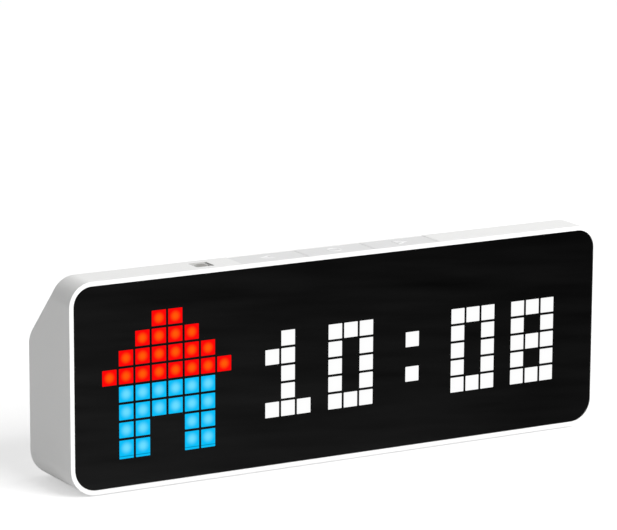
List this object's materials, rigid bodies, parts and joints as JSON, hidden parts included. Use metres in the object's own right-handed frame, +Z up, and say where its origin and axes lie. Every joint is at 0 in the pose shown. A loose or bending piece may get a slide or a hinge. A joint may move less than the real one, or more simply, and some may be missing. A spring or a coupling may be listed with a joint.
{
  "type": "pixel desk clock",
  "caption": "Free-standing desk clock with a wide smoked window over a lit pixel matrix, a white moulded shell with a slanted back, press keys on top and a charging socket behind.",
  "frame": {"origin": "on the surface it stands on, under the middle of the clock", "axes": "+Z up, +X to the right as seen from the front, the display faces -Y"},
  "size_m": [0.2006, 0.0318, 0.0709],
  "materials": {
    "housing_white": "fine moulded texture, white ABS",
    "cover_white": "fine moulded texture, white ABS",
    "key_white": "fine moulded texture, white ABS",
    "window_smoked": "smoked acrylic, satin gloss",
    "tape_black": "foam tape",
    "diffuser_film": "milky film",
    "grid_black": "moulded, matt",
    "board_fibreglass": "solder mask",
    "led_package": "clear resin on white",
    "screw_steel": "plain steel",
    "screw_black": "blackened steel",
    "switch_metal": "pressed sheet",
    "plunger_black": "moulded",
    "sensor_face": "resin face",
    "shield_can": "tinned sheet",
    "chip_resin": "moulded resin",
    "socket_shell": "stainless shell",
    "cell_can": "wrapped cell",
    "nickel_strip": "nickel",
    "wire_jacket": "soft jacket",
    "connector_nylon": "nylon",
    "ribbon_film": "film",
    "foot_rubber": "soft pad",
    "pixel_white": "lit pixel",
    "pixel_red": "lit pixel",
    "pixel_blue": "lit pixel"
  },
  "bodies": {
    "case": {"main_housing": "housing_white", "rear_cover": "cover_white", "cover_screws": "screw_black", "front_window": "window_smoked", "window_tape": "tape_black", "diffuser_sheet": "diffuser_film", "light_grid": "grid_black", "led_board": "board_fibreglass", "leds": "led_package", "led_board_screws": "screw_steel", "key_switches": "switch_metal", "light_sensor": "sensor_face", "main_board": "board_fibreglass", "main_board_screws": "screw_steel", "radio_module": "shield_can", "board_chips": "chip_resin", "usb_socket": "socket_shell", "buzzer": "chip_resin", "power_switch": "switch_metal", "lower_cell": "cell_can", "upper_cell": "cell_can", "battery_tabs": "nickel_strip", "battery_lead": "wire_jacket", "battery_header": "connector_nylon", "battery_plug": "connector_nylon", "display_ribbon": "ribbon_film", "ribbon_sockets": "connector_nylon", "left_foot": "foot_rubber", "right_foot": "foot_rubber"},
    "key_left": {"left_key": "key_white", "left_plunger": "plunger_black"},
    "key_select": {"select_key": "key_white", "select_plunger": "plunger_black"},
    "key_right": {"right_key": "key_white", "right_plunger": "plunger_black"},
    "key_power": {"power_button": "key_white", "power_plunger": "plunger_black"}
  },
  "joints": [
    {"name": "left_key_press", "type": "slide", "parent": "case", "child": "key_left", "axis": [0, 0, -1], "range_m": [0, 0.00035], "stiffness_N_per_m": 800},
    {"name": "select_key_press", "type": "slide", "parent": "case", "child": "key_select", "axis": [0, 0, -1], "range_m": [0, 0.00035], "stiffness_N_per_m": 800},
    {"name": "right_key_press", "type": "slide", "parent": "case", "child": "key_right", "axis": [0, 0, -1], "range_m": [0, 0.00035], "stiffness_N_per_m": 800},
    {"name": "power_button_press", "type": "slide", "parent": "case", "child": "key_power", "axis": [0, -1, 0], "range_m": [0, 0.00035], "stiffness_N_per_m": 800}
  ]
}
